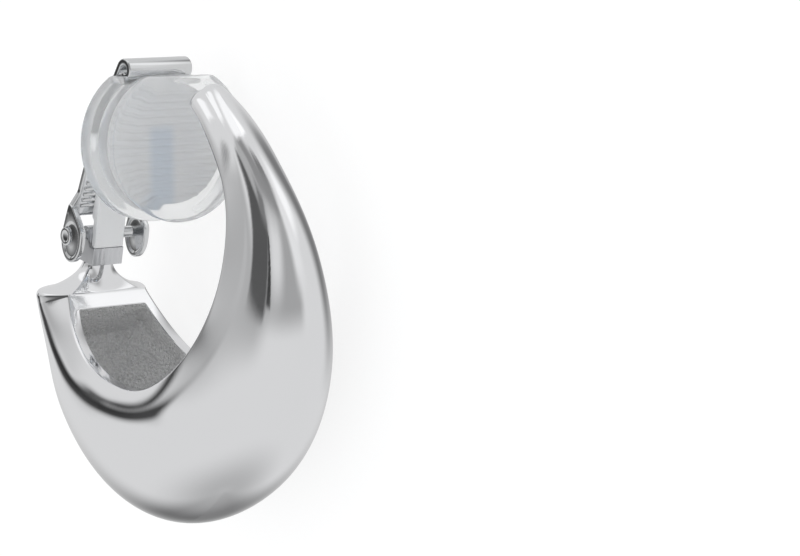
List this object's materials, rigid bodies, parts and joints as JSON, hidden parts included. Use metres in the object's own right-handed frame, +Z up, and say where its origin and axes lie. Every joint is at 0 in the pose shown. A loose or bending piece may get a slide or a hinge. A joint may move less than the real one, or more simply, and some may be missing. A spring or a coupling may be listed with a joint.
{
  "type": "clip on earring",
  "caption": "Hollow polished crescent hoop earring with a sprung lever clip and a soft silicone pad behind the ear lobe.",
  "frame": {"origin": "middle of the bounding box at the surface that the earring lies on", "axes": "+Z up from the side it lies on, +Y towards the top of the worn earring, +X towards its front"},
  "size_m": [0.0278, 0.0312, 0.012],
  "materials": {
    "polished_metal": "polished and plated, cast inside",
    "pin_metal": "plated",
    "clip_metal": "plated sheet",
    "silicone": "soft, clear and milky"
  },
  "bodies": {
    "hoop": {"hoop_shell": "polished_metal", "hinge_pin": "pin_metal"},
    "clip": {"clip_lever": "clip_metal", "silicone_pad": "silicone"}
  },
  "joints": [
    {"name": "clip_hinge", "type": "hinge", "parent": "hoop", "child": "clip", "pos_m": [-0.01131, 0.00159, 0.00564], "axis": [-0.0125, 0.025, 0.9996], "range_deg": [0, 80]}
  ]
}
